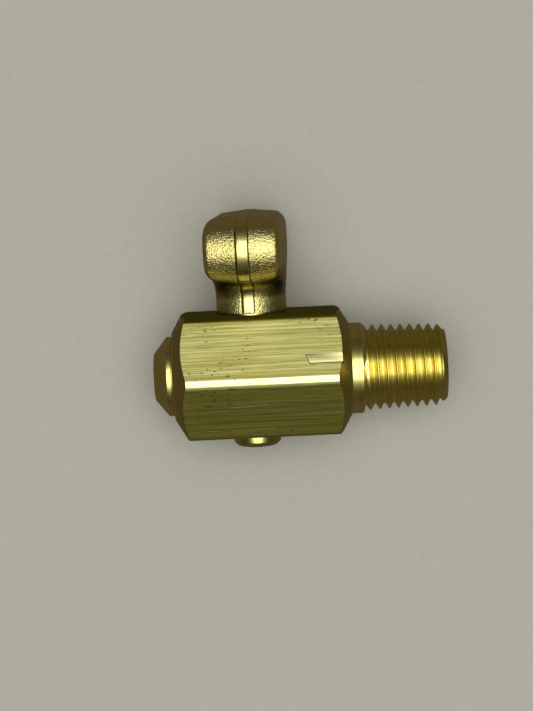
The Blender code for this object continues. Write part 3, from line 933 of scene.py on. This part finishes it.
def drawn_brass():
    """Bar as drawn: long fine lines, brighter and duller streaks, pits, scratches, a painted highlight on
    the two edges level with the flow axis, and painted shade on some flats.
    """
    made = Nodes("drawn_brass", DRAWN_BRASS, 0.3)
    made.shader.inputs["Anisotropic"].default_value = 0.9
    tangent = made.tree.nodes.new("ShaderNodeTangent")
    tangent.direction_type = "RADIAL"
    tangent.axis = "X"
    made.set("Tangent", tangent.outputs[0])

    place = made.place()
    fine = made.noise(made.scaled(place, (24, 4000, 4000)), 1.0, 2.0, 0.6)
    broad = made.noise(made.scaled(place, (14, 1050, 1050)), 1.0, 3.0, 0.6)
    short = made.noise(made.scaled(place, (130, 6500, 6500)), 1.0, 2.0, 0.6)
    stains = made.noise(place, 260.0, 3.0, 0.6)
    nicks = made.noise(made.scaled(place, (1300, 2600, 2600)), 1.0, 2.0, 0.5)
    clusters = made.noise(place, 160.0, 2.0)
    no_nick = made.ramp(nicks, 0.63, 0.69, 1.0, 0.0)
    no_cluster = made.ramp(clusters, 0.50, 0.58, 1.0, 0.0)
    unpitted = made.math("MAXIMUM", no_nick, no_cluster)
    height = made.split(place)["Y"]
    # mask of the narrow flat on the two edges level with the flow axis, where a highlight is painted
    edge = made.ramp(made.math("ABSOLUTE", height), HEX_EDGE_FLAT * 0.55, HEX_EDGE_FLAT * 0.45)

    streak = made.ramp(made.math("ADD", fine, made.math("MULTIPLY", broad, 0.8)), 0.74, 1.04)
    colour = made.mix(streak, STREAK_DULL, STREAK_BRIGHT)
    colour = made.mix(made.ramp(short, 0.38, 0.5, 0.35, 1.0), SHORT_LINE, colour)
    colour = made.mix(made.ramp(stains, 0.3, 0.6, 0.9, 1.0), STAIN, colour)
    colour = made.mix(unpitted, PIT_DARK, colour)
    colour = made.mix(edge, colour, EDGE_PAINTED_HIGHLIGHT)
    # painted shade on the flats below the front edge and on the top flat
    made.set("Base Color", with_painted_shade(made, colour, height))

    rough = made.ramp(broad, 0.3, 0.7, 0.50, 0.38)
    made.set("Roughness", made.math("SUBTRACT", rough, made.math("MULTIPLY", edge, 0.2)))
    normal = made.bump(broad, 0.07 * MM)
    normal = made.bump(fine, 0.05 * MM, normal=normal)
    normal = made.bump(short, 0.006 * MM, normal=normal)
    normal = made.bump(made.math("MAXIMUM", unpitted, edge), 0.03 * MM, normal=normal)
    for flat, lines in ((LOWER_FLAT, LOWER_SCRATCHES), (UPPER_FLAT, UPPER_SCRATCHES)):
        normal = made.bump(scratches(made, flat, lines), SCRATCH_DEPTH, normal=normal)
    made.set("Normal", normal)
    return made.material


def with_painted_shade(made, colour, height):
    """The colour with painted shade: darker on the flats below the front edge and on the top flat."""
    lower = made.ramp(height, -1.1 * MM, -0.5 * MM, 0.84, 0.0)
    upper = made.ramp(height, HEX_APOTHEM - 0.9 * MM, HEX_APOTHEM - 0.65 * MM)
    shade_mask = made.math("MAXIMUM", lower, upper)
    colour = made.mix(made.math("MULTIPLY", shade_mask, 0.95), colour, FLAT_PAINTED_SHADE)
    return made.multiplied(colour, made.mix(shade_mask, (1.0, 1.0, 1.0), FLAT_PAINTED_SHADE_TINT))


def on_flat(made, flat):
    """Distances along the bar from the key's axis, down that flat from its middle line, and above it."""
    place = made.split(made.place())
    along = made.math("SUBTRACT", place["X"], KEY_AXIS.x)

    distances = []
    for part_y, part_z in ((-math.sin(flat), math.cos(flat)), (math.cos(flat), math.sin(flat))):
        from_y = made.math("MULTIPLY", place["Y"], part_y)
        from_z = made.math("MULTIPLY", place["Z"], part_z)
        distances.append(made.math("ADD", from_y, from_z))
    down, out = distances
    return along, down, made.math("SUBTRACT", out, HEX_APOTHEM)


def scratches(made, flat, lines):
    """1 on the bar, falling to 0 along the middle of each scratch of one flat."""
    along, down, above = on_flat(made, flat)
    level = 1.0
    for start, end, width in lines:
        slope = (end[1] - start[1]) / (end[0] - start[0])
        line = made.math("ADD", made.math("MULTIPLY", along, slope), start[1] - slope * start[0])
        off_middle = made.distance(along, (start[0] + end[0]) / 2)
        half = (end[0] - start[0]) / 2
        walls = made.ramp(made.distance(down, line), 0.0, width)
        ends = made.ramp(off_middle, half - SCRATCH_END, half)
        level = made.math("MINIMUM", level, made.math("MAXIMUM", walls, ends))
    buried = made.ramp(above, -0.6 * MM, -0.4 * MM, 1.0, 0.0)
    return made.math("MAXIMUM", level, buried)


def torn_brass():
    """The draw mark: a bright floor with fine lines, and painted shade on its end wall and in the tear at
    its lower side.
    """
    made = Nodes("torn_brass", BRASS, 0.16)
    lines = made.noise(made.scaled(made.place(), (90, 6000, 6000)), 1.0, 2.0, 0.6)
    floor = made.mix(made.ramp(lines, 0.3, 0.6), TORN_DULL, TORN_BRIGHT)
    along, down, above = on_flat(made, UPPER_FLAT)
    slant = made.math("MULTIPLY", made.math("SUBTRACT", down, MARK_TOP), MARK_END_SLANT)
    wall_foot = made.math("SUBTRACT", made.math("ADD", slant, MARK_START), above)
    past_wall = made.ramp(made.math("SUBTRACT", along, wall_foot), 0.0, 0.12 * MM)
    above_tear = made.ramp(down, TEAR, TEAR - TEAR_LEAN)
    # painted shade on the mark's end wall and in the narrow tear
    made.set("Base Color", made.mix(made.math("MULTIPLY", past_wall, above_tear), TORN_PAINTED_SHADE, floor))
    made.set("Roughness", made.ramp(lines, 0.3, 0.7, 0.24, 0.14))
    made.set("Normal", made.bump(lines, 0.006 * MM))
    return made.material


def turned_brass(name, axis, roughness=0.2, shade=1.0):
    """Machined brass, with fine marks that run round the axis and painted shade on the body's chamfers. A
    shade below 1 darkens the whole colour as painted shade.
    """
    made = Nodes(name, BRASS, roughness)
    rings = made.rings(axis)
    marks = made.noise(rings, 9000.0, 2.0, 0.6)
    bands = made.noise(rings, 1800.0, 2.0)
    stains = made.noise(made.place(), 500.0, 3.0, 0.6)
    chamfer = made.ramp(made.split(rings)["Y"], CHAMFER_RADIUS, CHAMFER_RADIUS * 1.03)
    tone = made.mix(made.ramp(bands, 0.3, 0.7), TURNED_DULL, TURNED_BRIGHT)
    tone = made.mix(made.ramp(stains, 0.45, 0.75, 0, 0.5), tone, TURNED_STAIN)
    # painted shade on the body's chamfers
    tone = made.mix(made.math("MULTIPLY", chamfer, 0.55), tone, CHAMFER_PAINTED_SHADE)
    # a shade factor below 1 darkens the whole surface as painted shade
    made.set("Base Color", made.multiplied(tone, (shade, shade, shade)))
    rough = made.ramp(stains, 0.3, 0.7, roughness * 0.8, roughness * 1.25)
    made.set("Roughness", made.math("ADD", rough, made.math("MULTIPLY", chamfer, 0.16)))
    made.set("Normal", made.bump(marks, 0.002 * MM))
    return made.material


def forged_brass():
    """Forging with an orange-peel skin, smoother where the flash was trimmed off, with painted shade under
    the bar and darker lines beside the flash.
    """
    made = Nodes("forged_brass", BRASS, 0.25)
    unturned = made.tree.nodes.new("ShaderNodeMapping")
    made.link(made.place(), unturned.inputs["Vector"])
    unturned.inputs["Rotation"].default_value = (0, -KEY_TURN, 0)
    place = unturned.outputs["Vector"]
    across = made.split(place)["X"]
    level = made.split(place)["Y"]
    grain = made.noise(place, 4500.0, 2.0, 0.5)
    coarse = made.noise(place, 1700.0, 2.0, 0.5)
    stains = made.noise(place, 350.0, 3.0, 0.6)

    tone = made.mix(made.ramp(stains, 0.35, 0.7), FORGED_BRIGHT, FORGED_DULL)
    colour = made.mix(made.ramp(grain, 0.3, 0.45), FORGED_GRAIN, tone)
    # painted shade under the tee's bar, down to the top of the neck
    below_bar = made.ramp(level, HANDLE_BOTTOM + 1.6 * MM, HANDLE_BOTTOM + 2.6 * MM, 1.0, 0.0)
    above_neck = made.ramp(level, HANDLE_BOTTOM - 2.9 * MM, HANDLE_BOTTOM - 2.2 * MM)
    shaded = made.math("MULTIPLY", below_bar, above_neck)
    colour = made.mix(made.math("MULTIPLY", shaded, 0.62), colour, UNDER_BAR_PAINTED_SHADE)
    worn_top = made.ramp(level, HANDLE_MIDDLE + 2.2 * MM, HANDLE_MIDDLE + 3.6 * MM, 0.0, 0.8)
    # darker along the two lines beside the flash, fading out towards the top
    for groove, width, _ in FLASH_GROOVES:
        outside = made.ramp(made.distance(across, groove), width * 0.3, width * 1.1)
        colour = made.mix(made.math("MAXIMUM", outside, worn_top), FLASH_LINE_DARK, colour)
    made.set("Base Color", colour)
    made.set("Roughness", made.ramp(stains, 0.3, 0.7, 0.17, 0.25))

    half_band = (FLASH_RIGHT - FLASH_LEFT) / 2
    from_middle = made.distance(across, (FLASH_LEFT + FLASH_RIGHT) / 2)
    skin = made.ramp(from_middle, half_band - 0.05 * MM, half_band + 0.1 * MM, 0.12, 1.0)
    peel = made.bump(coarse, 0.06 * MM, skin)
    made.set("Normal", made.bump(grain, 0.10 * MM, skin, peel))
    return made.material


def spring_steel():
    """Drawn steel wire with a slight grain."""
    made = Nodes("spring_steel", STEEL, 0.28)
    grain = made.noise(made.place(), 3000.0, 2.0)
    made.set("Base Color", made.mix(made.ramp(grain, 0.35, 0.7), STEEL_DARK, STEEL_PALE))
    made.set("Roughness", made.ramp(grain, 0.3, 0.7, 0.22, 0.36))
    made.set("Normal", made.bump(grain, 0.004 * MM))
    return made.material


def floor_finish():
    """Plain pale grey, with a barely visible grain."""
    made = Nodes("pale_floor", FLOOR, 0.9, metallic=0.0)
    grain = made.noise(made.place(), 900.0, 2.0)
    made.set("Base Color", made.mix(grain, FLOOR_DARK, FLOOR_PALE))
    return made.material


# ---------------------------------------------------------------- stage


def camera_turn():
    """Rotation from the part's frame to the camera's."""
    about_x, about_y, about_z = CAMERA_TURNS
    turn = Matrix.Rotation(about_z, 3, "Z") @ Matrix.Rotation(about_y, 3, "Y")
    return turn @ Matrix.Rotation(about_x, 3, "X")


def make_camera():
    """The camera, above the turned part."""
    to_part = camera_turn().transposed()
    data = bpy.data.cameras.new("camera")
    data.lens = CAMERA_LENS
    data.sensor_width = SENSOR
    data.clip_start = 0.01
    data.clip_end = 10
    camera = new_object("camera", data)
    place = to_part @ (CAMERA_AIM + Vector((0, 0, CAMERA_HEIGHT))) + KEY_AXIS
    camera.matrix_world = Matrix.Translation(place) @ to_part.to_4x4()
    bpy.context.scene.camera = camera


def make_floor():
    """A pale sheet under the part, which lies on an edge of its body and on the far end of its tee."""
    edge = Vector((KEY_AXIS.x, 0, BODY_LOW.z))
    tip = Vector((KEY_AXIS.x, HANDLE_MIDDLE, KEY_LOW.z))
    slope = math.atan2(tip.z - edge.z, tip.y - edge.y)
    mesh = bpy.data.meshes.new("floor")
    half = FLOOR_SIZE / 2
    corners = [(-half, -half, 0), (half, -half, 0), (half, half, 0), (-half, half, 0)]
    mesh.from_pydata(corners, [], [(0, 1, 2, 3)])
    mesh.materials.append(floor_finish())
    floor = new_object("floor", mesh)
    floor.location = edge - Vector((0, 0, FLOOR_GAP))
    floor.rotation_euler = Euler((slope, 0, 0))
    floor.visible_glossy = False


def world_ramp(tree, value, stops):
    """The colour at that value, by straight lines between the stops, or one eased step between two."""
    node = tree.nodes.new("ShaderNodeValToRGB")
    node.color_ramp.interpolation = "LINEAR" if len(stops) > 2 else "EASE"
    tree.links.new(value, node.inputs[0])
    elements = node.color_ramp.elements
    for index, (position, colour) in enumerate(stops):
        stop = elements[index] if index < 2 else elements.new(position)
        stop.position = position
        stop.color = (*colour, 1)
    return node.outputs["Color"]


def world_mix(tree, factor, first, second):
    """The first colour at factor 0, the second at factor 1."""
    node = tree.nodes.new("ShaderNodeMix")
    node.data_type = "RGBA"
    tree.links.new(factor, node.inputs["Factor"])
    for value, socket in ((first, node.inputs[6]), (second, node.inputs[7])):
        if isinstance(value, tuple):
            socket.default_value = (*value, 1)
        else:
            tree.links.new(value, socket)
    return node.outputs[2]


def world_cosine(tree, axis):
    """Cosine of the angle between the direction that is looked in and the axis."""
    node = tree.nodes.new("ShaderNodeVectorMath")
    node.operation = "DOT_PRODUCT"
    direction = tree.nodes.new("ShaderNodeTexCoord").outputs["Generated"]
    tree.links.new(direction, node.inputs[0])
    node.inputs[1].default_value = axis
    return node.outputs["Value"]


def make_light():
    """Soft studio light from the world: one broad source near the camera's axis, in dim surroundings."""
    world = bpy.data.worlds.new("studio")
    bpy.context.scene.world = world
    world.use_nodes = True
    tree = world.node_tree
    light_axis = camera_turn().transposed() @ Vector((0, math.sin(LIGHT_TILT), math.cos(LIGHT_TILT)))
    stops = [(math.cos(angle), colour) for angle, colour in LIGHT_FALL]
    above = world_ramp(tree, world_cosine(tree, light_axis), stops)
    horizon = [(0.0, (0, 0, 0)), (HORIZON_BLEND, (1, 1, 1))]
    is_above = world_ramp(tree, world_cosine(tree, (0, 0, 1)), horizon)
    lit = world_mix(tree, is_above, UNDER_HORIZON, above)
    seen_directly = tree.nodes.new("ShaderNodeLightPath").outputs["Is Camera Ray"]
    seen = world_mix(tree, seen_directly, lit, BEHIND)
    tree.links.new(seen, tree.nodes["Background"].inputs["Color"])


def main():
    make_camera()
    bored = turned_brass("bored_brass", "X", 0.3)
    turned_x = turned_brass("turned_brass", "X")
    turned_y = turned_brass("turned_key_brass", "Y")
    forged = forged_brass()
    body = make_body(drawn_brass(), turned_x, bored, torn_brass())
    key = make_key(forged, turned_y)
    # the cap's copy of turned brass is darkened all over by its shade factor, as painted shade
    cap = make_cap(turned_brass("shaded_cap_brass", "Y", 0.14, shade=0.85))
    washer = make_washer(turned_y)
    spring = make_spring(spring_steel())
    pieces = (
        (body, "body", "body", "bar_brass"),
        (key, "key", "tee_key", "forged_brass"),
        (cap, "key", "retaining_cap", "turned_brass"),
        (washer, "key", "thrust_washer", "turned_brass"),
        (spring, "key", "key_spring", "spring_steel"),
    )
    for piece, body_name, node, slot in pieces:
        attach(piece, body_name)
        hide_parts(node)
    make_floor()
    make_light()
    bpy.context.scene.view_settings.view_transform = "Standard"


main()
